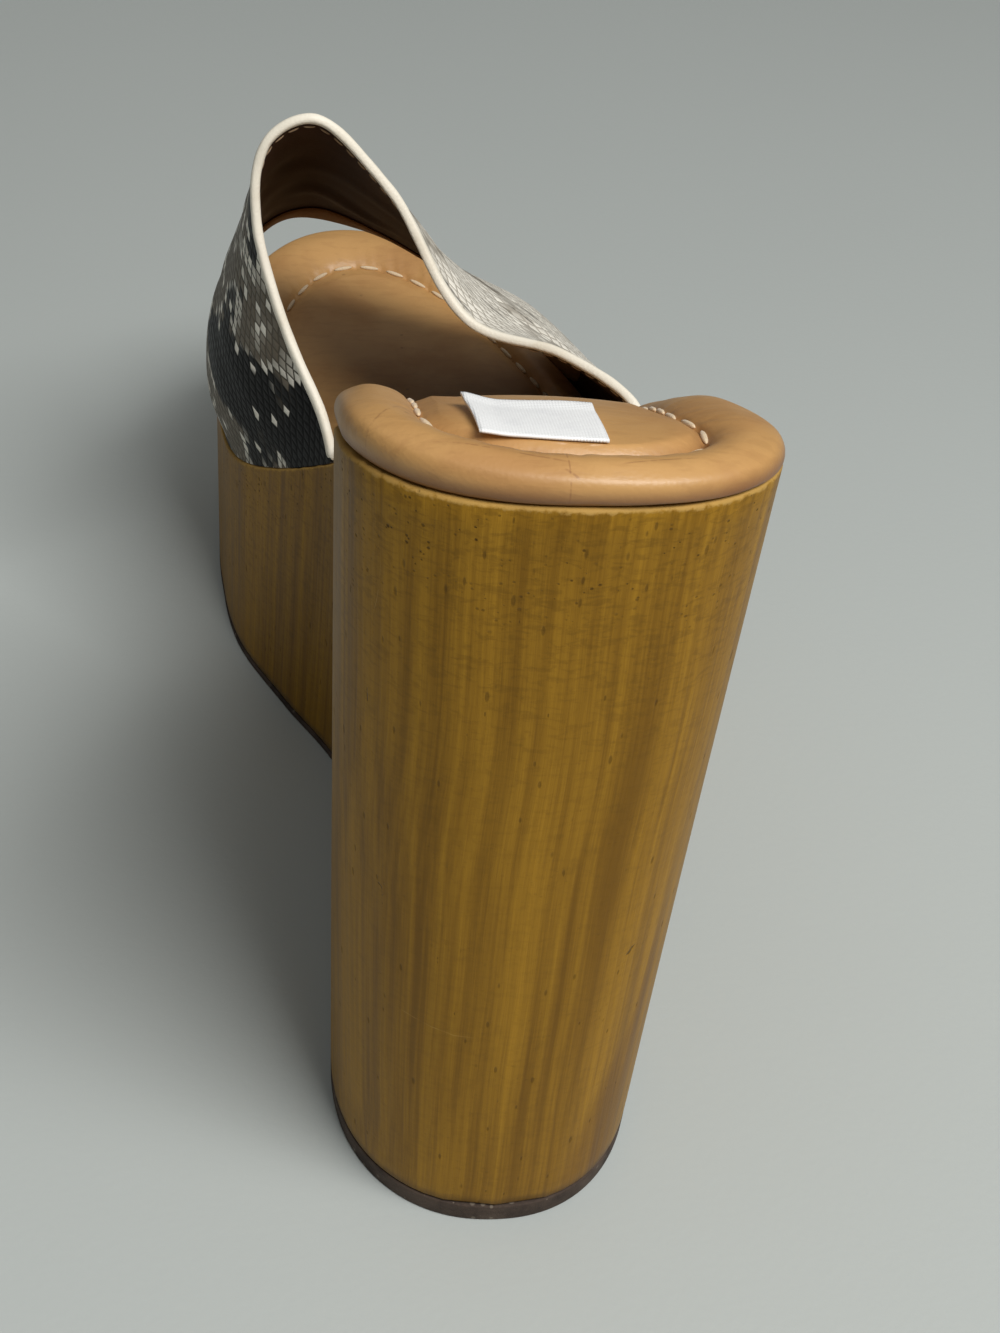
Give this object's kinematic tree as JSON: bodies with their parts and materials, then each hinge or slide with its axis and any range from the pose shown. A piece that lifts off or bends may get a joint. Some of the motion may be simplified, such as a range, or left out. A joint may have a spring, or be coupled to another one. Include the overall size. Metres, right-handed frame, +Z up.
{
  "type": "platform mule sandal",
  "caption": "Right platform mule with a tall wooden block heel and platform, a padded footbed and one wide band over the instep.",
  "frame": {"origin": "on the floor, under the middle of the shoe's bounding box", "axes": "+Y runs from the heel to the toe, +X to the wearer's right, which is the lateral side, and +Z up"},
  "size_m": [0.0838, 0.234, 0.144],
  "materials": {
    "wood_sole": "satin varnish over vertical grain",
    "heel_tap": "matt, worn",
    "outsole": "matt, worn",
    "footbed": "smooth, lightly glossed",
    "upper": "snakeskin embossed, dark brown lining"
  },
  "bodies": {
    "root": {"wood_sole": "wood_sole", "heel_tap": "heel_tap", "outsole": "outsole", "footbed": "footbed", "upper": "upper"}
  },
  "joints": []
}
